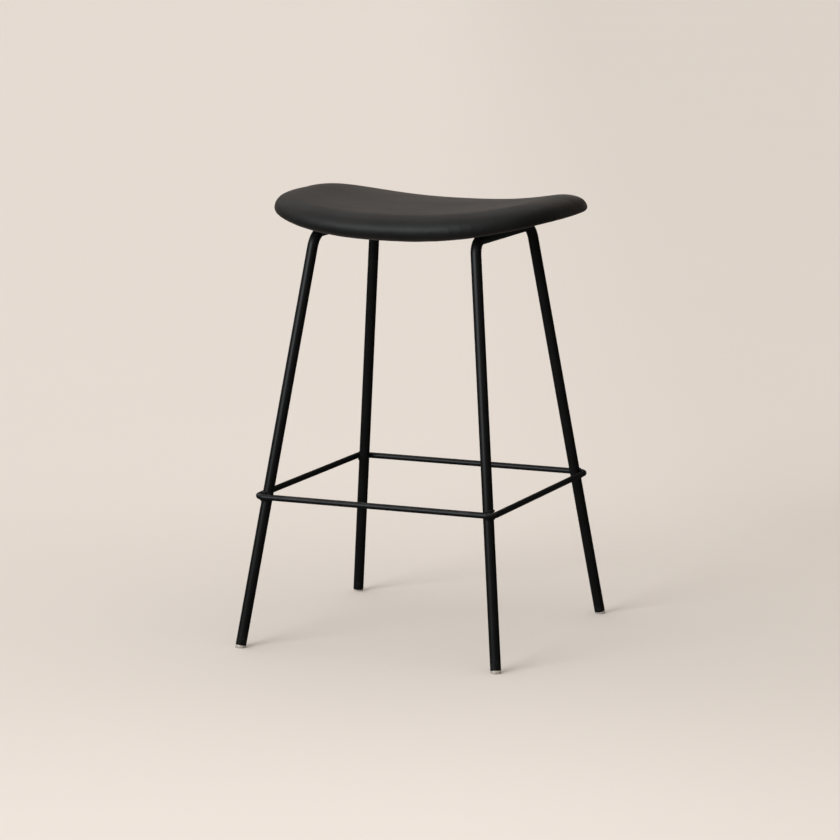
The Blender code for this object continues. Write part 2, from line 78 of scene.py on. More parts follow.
WELD_RADIUS = 0.0019
WELD_DROP_SPACING = 0.0011      # roughly, from one ripple of a weld to the next
WELD_STAND_OFF = 0.6            # of its radius, from the tube's face to the drops' middles
WELD_ARC = radians(80)          # how far a footrest weld reaches round the leg
WELD_VOXEL = 0.00035

SHARP_ANGLE = radians(40)       # past this, an edge is broken, and is not shaded smooth
SCREW_SHARP_ANGLE = radians(45)
WELD_SHARP_ANGLE = radians(60)
FACING = 0.99                   # of a face's normal on a direction, when it faces that way
BAR_SOFTENING = 0.0005
PANEL_SOFTENING = 0.0004
WASHER_SOFTENING = 0.0002
SPACER_SOFTENING = 0.0003
PLATE_SIDES = 40
SCREW_HEAD_SIDES = 48
SCREW_SHANK_RADIUS = 0.003
SCREW_SOCKET_WIDTH = 0.004      # across the flats
SCREW_SOCKET_DEPTH = 0.002
SCREW_DOME = 0.0019
SCREW_DOME_PROFILE = 0.55       # a little fuller than a quarter circle
SCREW_TIP_CHAMFER = 0.0006
SCREW_SOFTENING = 0.00015

PLAN_POWER = 2.8                # of the seat's outline, a superellipse
COVER_VOXEL = 0.005
COVER_CENTRAL_FACES = 40        # the highest of them is on the seat's top
COVER_OUTSIDE_TURN = radians(62)   # the sharpest turn within the leather's outer face
COVER_HOLE_SPAN = 10            # of the patch that closes the cover behind the panel
COVER_EVENING_OUT = (6, 3)      # rounds of smoothing, each after wrapping back on the last
COVER_TUCK = 0.0026             # how far the leather turns up behind the panel's edge
COVER_PRESSURE = 4.0
COVER_LAST_FRAME = 20
COVER_TRAVEL = 0.0009           # the furthest the leather may swell from its form
HELD_RISE = 0.016               # how far above the seat's base the leather can't swell
HELD_RISE_AT_ENDS = 0.012       # and so much more at the two ends
PLEAT_DEPTH = 0.0004
PLEAT_COUNT = 96
PLEAT_UNEVENNESS = 1.3          # how far pleats wander, in radians of one pleat's wave
PLEAT_WANDERINGS = 7            # times round the seat
PLEAT_REACH = (0.70, 0.90)      # from where to where, as shares of the way out to the rim
PANEL_LEVEL_SPARE = 0.003       # how far the panel stays level past the rails
PANEL_CLIMB_POWER = 1.5
PANEL_THICKNESS = 0.0016
PANEL_SPREAD = 1.006            # the panel beds into the leather round its edge

CAMERA_PLACE = (2.2367, -5.1933, 1.3136)
CAMERA_TILT = radians(90 - 9.92)
CAMERA_TURN = radians(23.36)
CAMERA_LENS = 162.96
FLOOR_SIZE = 60.0

feet = {mount["name"]: Vector(mount["pos_m"]) for mount in frame["record"]["mounts"]}
foot = feet["foot_back_right"]
right_frame_low, right_frame_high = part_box("right_leg_frame")
rail_height = right_frame_high.z - TUBE_RADIUS
rail_x = right_frame_low.x + TUBE_RADIUS
ring_low, ring_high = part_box("footrest_ring")
footrest_height = (ring_low.z + ring_high.z) / 2
panel_low, panel_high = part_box("underside_pan")
seat_low, seat_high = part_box("seat_leather")
seat_middle = (seat_low + seat_high) / 2

SIDES = (("left", -1), ("right", 1))
ENDS = (("front", -1), ("back", 1))


def leg_point(side, end, height):
    """A point on a leg's axis at the given height."""
    climb = height / rail_height
    x = foot.x + (rail_x - foot.x) * climb
    y = foot.y + (RAIL_HALF_LENGTH - foot.y) * climb
    return Vector((side * x, end * y, height))


# ---------------------------------------------------------------- bench tools

def only(piece):
    """Select this piece alone."""
    bpy.ops.object.select_all(action="DESELECT")
    piece.select_set(True)
    bpy.context.view_layer.objects.active = piece


@contextmanager
def editing(piece, mode="VERT"):
    """Edit mode on this piece, with nothing selected."""
    only(piece)
    bpy.ops.object.mode_set(mode="EDIT")
    bpy.ops.mesh.select_mode(type=mode)
    bpy.ops.mesh.select_all(action="DESELECT")
    yield
    bpy.ops.object.mode_set(mode="OBJECT")


def pick(kind, test):
    """In edit mode, select alone the verts, edges or faces that pass the test."""
    mesh = bpy.context.edit_object.data
    shape = bmesh.from_edit_mesh(mesh)
    bpy.ops.mesh.select_all(action="DESELECT")
    for item in getattr(shape, kind):
        if test(item):
            item.select_set(True)
    bmesh.update_edit_mesh(mesh)


def settle(piece, name):
    """Put a new primitive's place and turn into its mesh, and name it."""
    only(piece)
    bpy.ops.object.transform_apply(location=True, rotation=True, scale=True)
    piece.name = name
    piece.data.name = name
    return piece


def heading(direction):
    """The turn that points a new primitive's own Z along the direction."""
    return Vector((0, 0, 1)).rotation_difference(direction).to_euler()


def new_ring(name, place, direction, radius, sides):
    bpy.ops.object.select_all(action="DESELECT")
    bpy.ops.mesh.primitive_circle_add(vertices=sides, radius=radius, location=place,
                                      rotation=heading(direction))
    return settle(bpy.context.object, name)


def new_cylinder(name, place, direction, radius, depth, sides):
    bpy.ops.object.select_all(action="DESELECT")
    bpy.ops.mesh.primitive_cylinder_add(vertices=sides, radius=radius, depth=depth, location=place,
                                        rotation=heading(direction))
    return settle(bpy.context.object, name)


def extrude_by(step):
    bpy.ops.mesh.extrude_region_move(TRANSFORM_OT_translate={"value": step})


def finish_with(piece, kind, **settings):
    """Add a modifier and apply it."""
    modifier = piece.modifiers.new(kind.lower(), kind)
    for setting, value in settings.items():
        setattr(modifier, setting, value)
    only(piece)
    bpy.ops.object.modifier_apply(modifier=modifier.name)


def smooth(piece, angle=SHARP_ANGLE):
    only(piece)
    bpy.ops.object.shade_smooth_by_angle(angle=angle)


def merge_and_face_out(piece, distance=0.00001):
    with editing(piece):
        bpy.ops.mesh.select_all(action="SELECT")
        bpy.ops.mesh.remove_doubles(threshold=distance)
        bpy.ops.mesh.normals_make_consistent(inside=False)


def copy_of_node(node, name):
    """A merged copy of a CAD node, to be worked on as a piece of its own."""
    source = frame["nodes"][node]
    piece = bpy.data.objects.new(name, source.data.copy())
    piece.data.name = name
    bpy.context.scene.collection.objects.link(piece)
    piece.data.materials.clear()
    merge_and_face_out(piece, 0.000002)
    return piece


def break_edges(piece, width, angle=SHARP_ANGLE):
    """Take the sharpness off a piece's edges with a small bevel."""
    finish_with(piece, "BEVEL", width=width, segments=2, limit_method="ANGLE", angle_limit=angle)
    smooth(piece)


def softened_copy(node, name, width):
    """A CAD node's shape with its sharp edges broken, as a tumbled or sanded part has."""
    piece = copy_of_node(node, name)
    with editing(piece):
        bpy.ops.mesh.select_all(action="SELECT")
        bpy.ops.mesh.dissolve_limited(angle_limit=radians(1))
    break_edges(piece, width)
    return piece


def copied(piece, name, matrix):
    """Another of the same piece with a mesh of its own, turned the right way out if mirrored."""
    again = bpy.data.objects.new(name, piece.data.copy())
    again.data.name = name
    again.data.transform(matrix)
    if matrix.determinant() < 0:
        again.data.flip_normals()
    bpy.context.scene.collection.objects.link(again)
    return again


def at_each_corner(piece, stem):
    """A back right piece and its mirrored copies at the other three corners."""
    made = {}
    for end_name, end in ENDS:
        for side_name, side in SIDES:
            spot = f"{end_name}_{side_name}"
            if (side, end) == (1, 1):
                made[spot] = piece
            else:
                made[spot] = copied(piece, f"{stem}_{spot}", Matrix.Diagonal((side, end, 1, 1)))
    return made


# ---------------------------------------------------------------- frame pieces

def bent_tube(name, path, radius, sides, bend_radius, bend_steps):
    """A round tube along straight runs that meet in bends, drawn on from its first ring."""
    tube = new_ring(name, path[0], (path[1] - path[0]).normalized(), radius, sides)
    here = path[0]
    with editing(tube):
        bpy.ops.mesh.select_all(action="SELECT")
        for before, corner, after in zip(path, path[1:], path[2:]):
            arriving = (corner - before).normalized()
            leaving = (after - corner).normalized()
            turn = arriving.angle(leaving)
            reach = bend_radius * tan(turn / 2)
            start = corner - arriving * reach
            axis = arriving.cross(leaving).normalized()
            centre = start + axis.cross(arriving) * bend_radius
            extrude_by(start - here)
            bpy.ops.mesh.spin(steps=bend_steps, angle=-turn, center=centre, axis=axis)
            here = corner + leaving * reach
        extrude_by(path[-1] - here)
    merge_and_face_out(tube)
    return tube


def tube_frame():
    """The right-hand leg, rail and leg in one tube, with the tube's real wall."""
    low_ends = [leg_point(1, end, TUBE_END_HEIGHT) for end in (-1, 1)]
    corners = [leg_point(1, end, rail_height) for end in (-1, 1)]
    path = [low_ends[0], *corners, low_ends[1]]
    tube = bent_tube("right_tube_frame", path, TUBE_RADIUS, TUBE_SIDES, BEND_RADIUS,
                     TUBE_BEND_STEPS)
    finish_with(tube, "SOLIDIFY", thickness=TUBE_WALL, offset=-1, use_rim=True)
    break_edges(tube, TUBE_EDGE_SOFTENING)
    return tube


def footrest_rod():
    """One rod bent round the outside of the four legs, its ends joined on the front side."""
    half = Vector((ring_high.x - ROD_RADIUS, ring_high.y - ROD_RADIUS, 0))
    start = Vector((0, -half.y, footrest_height))
    corners = [Vector((x * half.x, y * half.y, footrest_height))
               for x, y in ((1, -1), (1, 1), (-1, 1), (-1, -1))]
    bend_radius = half.y - leg_point(1, 1, footrest_height).y
    rod = bent_tube("footrest_rod", [start, *corners, start], ROD_RADIUS, ROD_SIDES, bend_radius,
                    ROD_BEND_STEPS)
    smooth(rod)
    return rod


def foot_glide():
    """A nylon plug in the back right tube's end, its flange cut level with the floor."""
    axis = (leg_point(1, 1, rail_height) - leg_point(1, 1, 0)).normalized()
    tube_end = leg_point(1, 1, TUBE_END_HEIGHT)
    flange_depth = 4 * TUBE_END_HEIGHT
    glide = new_cylinder("foot_glide_plug_back_right", tube_end - axis * flange_depth / 2, axis,
                         GLIDE_FLANGE_RADIUS, flange_depth, TUBE_SIDES)
    with editing(glide, "FACE"):
        pick("faces", lambda face: face.normal.dot(axis) > FACING)
        bpy.ops.mesh.inset(thickness=GLIDE_FLANGE_RADIUS - GLIDE_PLUG_RADIUS)
        extrude_by(axis * GLIDE_PLUG_LENGTH)
        bpy.ops.mesh.bevel(offset=2 * GLIDE_SOFTENING, segments=3, affect="EDGES")
        bpy.ops.mesh.select_all(action="SELECT")
        bpy.ops.mesh.bisect(plane_co=(0, 0, 0), plane_no=(0, 0, 1), use_fill=True, clear_inner=True)
        bpy.ops.mesh.select_mode(type="EDGE")
        pick("edges", lambda edge: max(vert.co.z for vert in edge.verts) < 0.00001)
        bpy.ops.mesh.bevel(offset=GLIDE_SOFTENING, segments=3, affect="EDGES")
    smooth(glide)
    return glide


def weld_bead(name, drops):
    """Overlapping drops along a joint, melted into one rippled bead."""
    made = []
    for place in drops:
        bpy.ops.object.select_all(action="DESELECT")
        bpy.ops.mesh.primitive_uv_sphere_add(segments=16, ring_count=10, radius=WELD_RADIUS,
                                             location=place)
        made.append(bpy.context.object)
    for drop in made:
        drop.select_set(True)
    bpy.context.view_layer.objects.active = made[0]
    bpy.ops.object.join()
    bead = settle(made[0], name)
    finish_with(bead, "REMESH", mode="VOXEL", voxel_size=WELD_VOXEL)
    finish_with(bead, "SMOOTH", factor=0.5, iterations=2)
    smooth(bead, WELD_SHARP_ANGLE)
    return bead


def footrest_bead():
    """The bead over and under the rod where it passes the back right leg."""
    low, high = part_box("footrest_weld_back_right")
    middle = (low + high) / 2
    rise = middle.z - footrest_height
    reach = TUBE_RADIUS + WELD_STAND_OFF * WELD_RADIUS
    count = int(reach * pi / 2 / WELD_DROP_SPACING)
    drops = []
    for level in (rise, -rise):
        post = leg_point(1, 1, footrest_height + level)
        for i in range(count + 1):
            angle = pi / 4 + (i / count - 0.5) * WELD_ARC
            drops.append(post + Vector((reach * cos(angle), reach * sin(angle), 0)))
    return weld_bead("footrest_bead_back_right", drops)


def bar_bead():
    """The bead in the groove under the back bar where it meets the right rail."""
    low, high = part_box("bar_weld_back_right")
    middle = (low + high) / 2
    length = high.y - low.y - 2 * WELD_RADIUS
    count = int(length / WELD_DROP_SPACING)
    drops = [Vector((middle.x, middle.y + (i / count - 0.5) * length, middle.z))
             for i in range(count + 1)]
    return weld_bead("bar_bead_back_right", drops)


# ---------------------------------------------------------------- seat fixings

def ring_plate(name, node, softening):
    """A washer or spacer with broken edges, drawn from its bore outwards."""
    low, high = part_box(node)
    middle = (low + high) / 2
    bore = SCREW_SHANK_RADIUS + BOLT_CLEARANCE
    place = Vector((middle.x, middle.y, low.z))
    plate = new_ring(name, place, Vector((0, 0, 1)), bore, PLATE_SIDES)
    with editing(plate):
        bpy.ops.mesh.select_all(action="SELECT")
        bpy.ops.mesh.extrude_region_move()
        growth = (high.x - low.x) / 2 / bore
        bpy.ops.transform.resize(value=(growth, growth, 1), center_override=place)
    merge_and_face_out(plate)
    with editing(plate):
        pick("faces", lambda face: face.normal.z < 0)
        bpy.ops.mesh.flip_normals()
    finish_with(plate, "SOLIDIFY", thickness=high.z - low.z, offset=-1, use_rim=True)
    merge_and_face_out(plate)
    break_edges(plate, softening)
    drop = low.z - min(vert.co.z for vert in plate.data.vertices)
    plate.data.transform(Matrix.Translation((0, 0, drop)))
    return plate


def seat_screw():
    """A button-head screw, driven from below: dome, hex socket and shank."""
    low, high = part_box("seat_screw_back_right")
    middle = (low + high) / 2
    head_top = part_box("screw_washer_back_right")[0].z - TOUCH_GAP
    radius = (high.x - low.x) / 2
    depth = head_top - low.z
    place = Vector((middle.x, middle.y, low.z + depth / 2))
    screw = new_cylinder("socket_screw_back_right", place, Vector((0, 0, 1)), radius, depth,
                         SCREW_HEAD_SIDES)
    with editing(screw, "FACE"):
        pick("faces", lambda face: face.normal.z < -FACING)
        bpy.ops.mesh.bevel(offset=SCREW_DOME, segments=6, profile=SCREW_DOME_PROFILE,
                           affect="EDGES")
        pick("faces", lambda face: face.normal.z > FACING)
        bpy.ops.mesh.inset(thickness=radius - SCREW_SHANK_RADIUS)
        extrude_by(Vector((0, 0, high.z - head_top)))
        bpy.ops.mesh.bevel(offset=SCREW_TIP_CHAMFER, segments=2, affect="EDGES")
    socket = new_cylinder("socket_cutter", Vector((middle.x, middle.y, low.z)), Vector((0, 0, 1)),
                          SCREW_SOCKET_WIDTH / 2 / cos(pi / 6), 2 * SCREW_SOCKET_DEPTH, 6)
    finish_with(screw, "BOOLEAN", object=socket, operation="DIFFERENCE", solver="EXACT")
    bpy.data.objects.remove(socket, do_unlink=True)
    break_edges(screw, SCREW_SOFTENING, SCREW_SHARP_ANGLE)
    return screw


# ---------------------------------------------------------------- seat

def panel_height(x):
    """The seat's underside: level across the rails, then climbing to the two ends."""
    level = rail_x + TUBE_RADIUS + PANEL_LEVEL_SPARE
    share = max(0.0, abs(x) - level) / (panel_high.x - level)
    climb = panel_high.z - PANEL_THICKNESS - panel_low.z
    return panel_low.z + climb * share ** PANEL_CLIMB_POWER


def pass_through_points(form, rounds=4):
    """Move the points out until the surface smoothed from them passes where they were."""
    goal = [vert.co.copy() for vert in form.data.vertices]
    form.modifiers.new("trial", "SUBSURF").levels = 1
    for _ in range(rounds):
        trial = form.evaluated_get(bpy.context.evaluated_depsgraph_get())
        reached = [vert.co.copy() for vert in trial.data.vertices[:len(goal)]]
        for vert, aim, got in zip(form.data.vertices, goal, reached):
            vert.co += aim - got
        form.data.update()
    form.modifiers.remove(form.modifiers["trial"])


def outside_only(form):
    """Keep the leather's outer face alone: all that joins its top without a sharp turn."""
    def off_centre(face):
        middle = face.calc_center_median()
        return hypot(middle.x, middle.y - seat_middle.y)

    shape = bmesh.from_edit_mesh(form.data)
    central = sorted(shape.faces, key=off_centre)[:COVER_CENTRAL_FACES]
    top = max(central, key=lambda face: face.calc_center_median().z).index
    pick("faces", lambda face: face.index == top)
    bpy.ops.mesh.faces_select_linked_flat(sharpness=COVER_OUTSIDE_TURN)
    bpy.ops.mesh.select_all(action="INVERT")
    bpy.ops.mesh.delete(type="FACE")
    bpy.ops.mesh.select_all(action="SELECT")
    bpy.ops.mesh.tris_convert_to_quads(face_threshold=pi, shape_threshold=pi)


def close_behind_panel(form):
    """Turn the leather's hem up behind the panel's edge and close it with a patch there."""
    bpy.ops.mesh.select_mode(type="EDGE")
    pick("edges", lambda edge: edge.is_boundary)
    extrude_by(Vector((0, 0, COVER_TUCK)))
    bpy.ops.mesh.fill_grid(span=COVER_HOLE_SPAN)
    shape = bmesh.from_edit_mesh(form.data)
    for vert in shape.verts:
        if vert.select and all(edge.select for edge in vert.link_edges):
            vert.co.z = panel_height(vert.co.x) + COVER_TUCK
    bmesh.update_edit_mesh(form.data)
    bpy.ops.mesh.select_all(action="SELECT")
    bpy.ops.mesh.normals_make_consistent(inside=False)


def in_fixed_order(form):
    """Number the points and faces by place, because filling a hole can number them anew."""
    points = sorted(form.data.vertices, key=lambda vert: tuple(vert.co))
    number = {vert.index: i for i, vert in enumerate(points)}
    places = [vert.co.copy() for vert in points]
    faces = []
    for face in form.data.polygons:
        around = [number[index] for index in face.vertices]
        first = around.index(min(around))
        faces.append(around[first:] + around[:first])
    form.data.clear_geometry()
    form.data.from_pydata(places, [], sorted(faces))


def seat_form():
    """The leather's outside as one smooth closed form, in even small faces."""
    form = copy_of_node("seat_leather", "leather_seat_cover")
    with editing(form, "FACE"):
        outside_only(form)
        close_behind_panel(form)
    in_fixed_order(form)
    pass_through_points(form)
    finish_with(form, "SUBSURF", levels=3, render_levels=3)
    last = copied(form, "seat_last", Matrix.Identity(4))
    finish_with(form, "REMESH", mode="VOXEL", voxel_size=COVER_VOXEL)
    for rounds in COVER_EVENING_OUT:
        finish_with(form, "SHRINKWRAP", target=last, wrap_method="NEAREST_SURFACEPOINT")
        finish_with(form, "SMOOTH", factor=0.5, iterations=rounds)
    bpy.data.objects.remove(last, do_unlink=True)
    return form


def behind_panel(place):
    """Whether the seat's underside rests on its panel here, and so cannot swell."""
    middle = (panel_low + panel_high) / 2
    half = (panel_high - panel_low) / 2
    across = abs((place.x - middle.x) / half.x)
    along = abs((place.y - middle.y) / half.y)
    inside = across ** PLAN_POWER + along ** PLAN_POWER < 1.0
    return inside and place.z < panel_low.z + HELD_RISE + HELD_RISE_AT_ENDS * across ** 3


def swell(cover):
    """Blow the cover up a little with cloth, no further than leather over firm foam goes."""
    held = cover.vertex_groups.new(name="held")
    held.add([vert.index for vert in cover.data.vertices if behind_panel(vert.co)], 1.0, "REPLACE")
    before = [vert.co.copy() for vert in cover.data.vertices]
    cloth = cover.modifiers.new("cloth", "CLOTH")
    cloth.settings.quality = 5
    cloth.settings.mass = 0.3
    cloth.settings.tension_stiffness = 20
    cloth.settings.compression_stiffness = 20
    cloth.settings.shear_stiffness = 8
    cloth.settings.bending_stiffness = 1.5
    cloth.settings.use_pressure = True
    cloth.settings.uniform_pressure_force = COVER_PRESSURE
    cloth.settings.effector_weights.gravity = 0
    cloth.settings.vertex_group_mass = held.name
    cloth.point_cache.frame_end = COVER_LAST_FRAME
    for moment in range(1, COVER_LAST_FRAME + 1):
        bpy.context.scene.frame_set(moment)
    only(cover)
    bpy.ops.object.modifier_apply(modifier=cloth.name)
    bpy.context.scene.frame_set(1)
    for vert, start in zip(cover.data.vertices, before):
        move = vert.co - start
        if move.length > 0:
            vert.co = start + move * (COVER_TRAVEL * tanh(move.length / COVER_TRAVEL) / move.length)
    cover.vertex_groups.clear()


def pleat(cover):
    """Gather the leather in small pleats where it is pulled under round the four corners."""
    rim = (seat_high - seat_low) / 2
    start, end = PLEAT_REACH
    facing = [vert.normal.copy() for vert in cover.data.vertices]
    for vert, normal in zip(cover.data.vertices, facing):
        x = (vert.co.x - seat_middle.x) / rim.x
        y = (vert.co.y - seat_middle.y) / rim.y
        reach = (abs(x) ** PLAN_POWER + abs(y) ** PLAN_POWER) ** (1 / PLAN_POWER)
        if normal.z < 0 and start < reach < end:
            angle = atan2(y, x)
            at_corner = sin(2 * angle) ** 2
            along_pleat = sin(pi * (end - reach) / (end - start))
            wander = PLEAT_UNEVENNESS * sin(PLEAT_WANDERINGS * angle)
            wave = sin(PLEAT_COUNT * angle + wander)
            vert.co += normal * (PLEAT_DEPTH * at_corner * along_pleat * wave)


def leather_cover():
    """The seat's soft cover: filled out, then pleated underneath at the corners."""
    cover = seat_form()
    swell(cover)
    finish_with(cover, "SUBSURF", levels=1, render_levels=1)
    pleat(cover)
    smooth(cover, pi)
    return cover


def underside_panel():
    """The panel that closes the seat's underside, bedded into the leather round its edge."""
    panel = softened_copy("underside_pan", "seat_underside_panel", PANEL_SOFTENING)
    spread = Matrix.Diagonal((PANEL_SPREAD, PANEL_SPREAD, 1, 1))
    middle = Matrix.Translation((seat_middle.x, seat_middle.y, 0))
    panel.data.transform(middle @ spread @ middle.inverted())
    return panel


# ---------------------------------------------------------------- shader tools

class Value:
    """A number or a vector that varies over a surface; sums on it add nodes."""

    def __init__(self, finish, socket):
        self.finish = finish
        self.socket = socket

    def maths(self, operation, *others):
        settings = {"operation": operation}
        return self.finish.node("ShaderNodeMath", settings, dict(enumerate(others)))

    def __add__(self, other):
        return self.maths("ADD", self, other)

    def __sub__(self, other):
        return self.maths("SUBTRACT", self, other)

    def __rsub__(self, other):
        return self.maths("SUBTRACT", other, self)

    def __mul__(self, other):
        return self.maths("MULTIPLY", self, other)

    __radd__ = __add__
    __rmul__ = __mul__

    def clamped(self):
        return self.finish.node("ShaderNodeClamp", {}, {"Value": self})

    def between(self, low, high):
        """0 below low, 1 above high, and a smooth climb between them."""
        settings = {"interpolation_type": "SMOOTHSTEP"}
        return self.finish.node("ShaderNodeMapRange", settings,
                                {"Value": self, "From Min": low, "From Max": high})


class Finish:
    """One material, built up node by node."""

    def __init__(self, name):
        self.material = bpy.data.materials.new(name)
        self.material.use_nodes = True
        self.tree = self.material.node_tree
        self.shader = self.tree.nodes["Principled BSDF"]
        self.place = self.node("ShaderNodeTexCoord", {}, {}, "Object")

    def node(self, kind, settings, sockets, output=0):
        """Add a node: its type, its settings, and the values or links of its sockets."""
        made = self.tree.nodes.new(kind)
        for setting, value in settings.items():
            setattr(made, setting, value)
        for socket, value in sockets.items():
            self.feed(made.inputs[socket], value)
        return Value(self, made.outputs[output])

    def feed(self, socket, value):
        if isinstance(value, Value):
            self.tree.links.new(value.socket, socket)
        else:
            socket.default_value = value

    def noise(self, scale, detail=2.0, roughness=0.5, place=None):
        """Clouds of the given number per metre."""
        sockets = {"Vector": place or self.place, "Scale": scale, "Detail": detail,
                   "Roughness": roughness}
        return self.node("ShaderNodeTexNoise", {}, sockets, "Fac")

    def cells(self, scale, feature="F1", place=None):
        sockets = {"Vector": place or self.place, "Scale": scale}
        return self.node("ShaderNodeTexVoronoi", {"feature": feature}, sockets, "Distance")

    def axis(self, letter):
        return self.node("ShaderNodeSeparateXYZ", {}, {0: self.place}, letter)

    def stretched(self, scales):
        """The place, drawn out along each axis."""
        return self.node("ShaderNodeMapping", {}, {"Vector": self.place, "Scale": scales})

    def blend(self, share, first, second):
        """first where share is 0, second where it is 1; both are colours."""
        mix = {"data_type": "RGBA", "clamp_factor": True}
        return self.node("ShaderNodeMix", mix, {0: share, 6: first, 7: second}, 2)

    def bump(self, height, distance, strength=1.0, under=None):
        sockets = {"Height": height, "Distance": distance, "Strength": strength}
        if under:
            sockets["Normal"] = under
        return self.node("ShaderNodeBump", {}, sockets)

    def surface(self, **values):
        """Set the shader's sockets; Base_Color stands for Base Color."""
        for name, value in values.items():
            self.feed(self.shader.inputs[name.replace("_", " ")], value)
        return self.material


def grey(level, warmth=1.0):
    return (level * warmth, level, level / warmth, 1.0)


# ---------------------------------------------------------------- finishes

def powder_coat():
    """Satin black powder coat: orange peel, fine fleck, and rubbing where feet rest."""
    f = Finish("satin black powder coat")
    peel = f.noise(900, 2, 0.5)
    fleck = f.noise(5200, 1, 0.5)
    cloud = f.noise(38, 3, 0.6)
    height = f.axis("Z")
    rod_top = ring_high.z
    upper_half = height.between(rod_top - 0.0046, rod_top - 0.0003)
    above = height.between(rod_top + 0.0002, rod_top + 0.0022)
    front = 1 - f.axis("Y").between(-0.20, -0.17)
    rubbed = upper_half * (1 - above) * front * f.noise(60, 4, 0.7).between(0.42, 0.62)
    scuffed = (1 - height.between(0.004, 0.030)) * f.noise(240, 4, 0.7).between(0.50, 0.66)
    wear = (rubbed * 0.8 + scuffed * 0.7).clamped()
    tone = (cloud.between(0.3, 0.7) * 0.5 + fleck.between(0.35, 0.75) * 0.5).clamped()
    coat = f.blend(tone, grey(0.0030), grey(0.0052))
    return f.surface(
        Base_Color=f.blend(wear * 0.6, coat, grey(0.040, 1.03)),
        Roughness=(0.34 + cloud * 0.08 + fleck * 0.05 - wear * 0.06).clamped(),
        Normal=f.bump(peel * 0.8 + fleck * 0.2, 0.00010, 0.55),
        Metallic=0.0, Specular_IOR_Level=0.14)


def leather():
    """Smooth black leather: a fine pebble, pores, a slight draw, and polish where one sits."""
    f = Finish("smooth black leather")
    drift = f.noise(170, 2, 0.5)
    swirl = f.node("ShaderNodeTexNoise", {}, {"Vector": f.place, "Scale": 240.0}, "Color")
    wander = f.node("ShaderNodeVectorMath", {"operation": "SCALE"}, {0: swirl, "Scale": 0.0016})
    bent = f.node("ShaderNodeVectorMath", {"operation": "ADD"}, {0: f.place, 1: wander})
    pebble = f.cells(760, "DISTANCE_TO_EDGE", bent).between(0.0, 0.30)
    small = f.cells(1900, "F1", bent)
    pores = 1 - f.cells(1150, "F1", bent).between(0.05, 0.24)
    draw = f.noise(30, 3, 0.55, f.stretched((1.0, 2.4, 1.0)))
    cloud = f.noise(9, 3, 0.55)
    rise = f.axis("Z").between(panel_low.z + 0.004, panel_low.z + 0.030)
    sat_on = rise * cloud.between(0.40, 0.66)
    grain = (pebble * 0.62 + small * 0.25 - pores * 0.30 + drift * 0.2).clamped()
    hide = f.blend(cloud.between(0.3, 0.7), grey(0.0062), grey(0.0092, 1.02))
    worn = f.blend(sat_on * 0.35, hide, grey(0.013, 1.05))
    fine = f.bump(grain, 0.00012, 0.50)
    return f.surface(
        # Base Color goes darker in the pebble's grooves, where the bump is lowest: painted shade.
        Base_Color=f.blend((1 - pebble) * 0.45, worn, grey(0.004)),
        Roughness=(0.49 + draw * 0.08 - sat_on * 0.05 - pebble * 0.03).clamped(),
        Normal=f.bump(draw, 0.0012, 0.30, fine),
        Metallic=0.0, Specular_IOR_Level=0.165, Sheen_Weight=0.10, Sheen_Roughness=0.35,
        Sheen_Tint=(1.0, 0.84, 0.72, 1.0))


def panel_plastic():
    """Moulded black plastic with a spark-eroded texture and faint flow marks."""
    f = Finish("textured black plastic")
    spark = f.noise(2600, 3, 0.65)
    flow = f.noise(14, 3, 0.6, f.stretched((1.0, 3.0, 1.0)))
    rubbed = f.noise(70, 5, 0.7).between(0.60, 0.72)
    body = f.blend(flow, grey(0.014), grey(0.024))
    return f.surface(
        Base_Color=f.blend(rubbed * 0.4, body, grey(0.045)),
        Roughness=(0.62 + spark * 0.16 - rubbed * 0.12).clamped(),
        Normal=f.bump(spark, 0.00012, 0.6))


def glide_nylon():
    """Clear nylon, gone faintly amber, with scratches from the floor."""
    f = Finish("clear nylon")
    haze = f.noise(260, 3, 0.6)
    scratch = f.noise(900, 3, 0.7, f.stretched((1.0, 0.12, 1.0))).between(0.55, 0.70)
    low = 1 - f.axis("Z").between(0.0002, 0.0030)
    scuff = (scratch * (0.35 + low * 0.65)).clamped()
    return f.surface(
        Base_Color=f.blend(haze, (0.62, 0.57, 0.50, 1.0), (0.74, 0.70, 0.63, 1.0)),
        Roughness=(0.16 + haze * 0.14 + scuff * 0.30).clamped(),
        Normal=f.bump(scuff + haze * 0.3, 0.00008, 0.5),
        Transmission_Weight=0.65, IOR=1.53)


def screw_steel():
    """Blackened steel with bright wear in the socket and on the dome's edge."""
    f = Finish("blackened steel")
    oxide = f.noise(700, 4, 0.6)
    turned = f.noise(2400, 2, 0.5, f.stretched((1.0, 1.0, 6.0)))
    rub = f.noise(420, 4, 0.7).between(0.57, 0.70)
    return f.surface(
        Base_Color=f.blend(rub * 0.5, f.blend(oxide, grey(0.030), grey(0.060)), grey(0.30)),
        Roughness=(0.34 + oxide * 0.14 - rub * 0.08).clamped(),
        Normal=f.bump(oxide * 0.6 + turned * 0.4, 0.00004, 0.5),
        Metallic=0.9)


def rubber():
    """Matte black rubber with talc left in its pores."""
    f = Finish("black rubber")
    pore = f.cells(1500, "F1")
    bloom = f.noise(120, 4, 0.65).between(0.45, 0.75)
    return f.surface(
        Base_Color=f.blend(bloom * 0.5, grey(0.020), grey(0.050)),
        Roughness=(0.80 + bloom * 0.12 - pore * 0.05).clamped(),
        Normal=f.bump(pore, 0.00010, 0.4))


